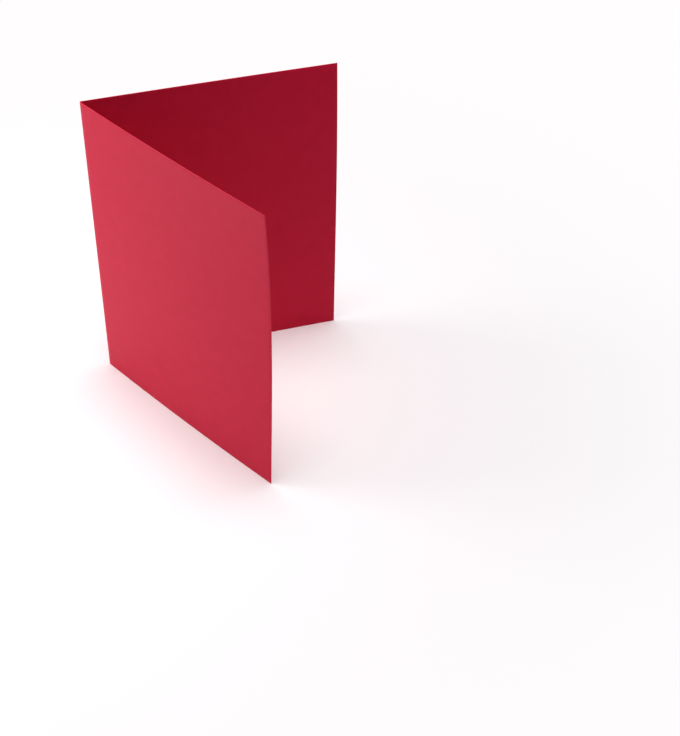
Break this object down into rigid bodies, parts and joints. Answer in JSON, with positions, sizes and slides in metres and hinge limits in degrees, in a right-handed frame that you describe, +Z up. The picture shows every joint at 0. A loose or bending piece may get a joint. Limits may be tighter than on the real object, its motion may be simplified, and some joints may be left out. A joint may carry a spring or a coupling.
{
  "type": "blank card",
  "caption": "Plain folded note card of dyed stock, scored and creased down the middle, standing open in a V on its lower cut edge.",
  "frame": {"origin": "on the surface that the card stands on, under the middle of its box", "axes": "+Z up along the fold; the fold is on the -X side and the V opens towards +X; the front panel runs towards -Y and the back panel towards +Y"},
  "size_m": [0.0936, 0.1118, 0.1397],
  "materials": {
    "card_stock": "matte, dyed through, uncoated"
  },
  "bodies": {
    "root": {"folded_card": "card_stock"}
  },
  "joints": []
}
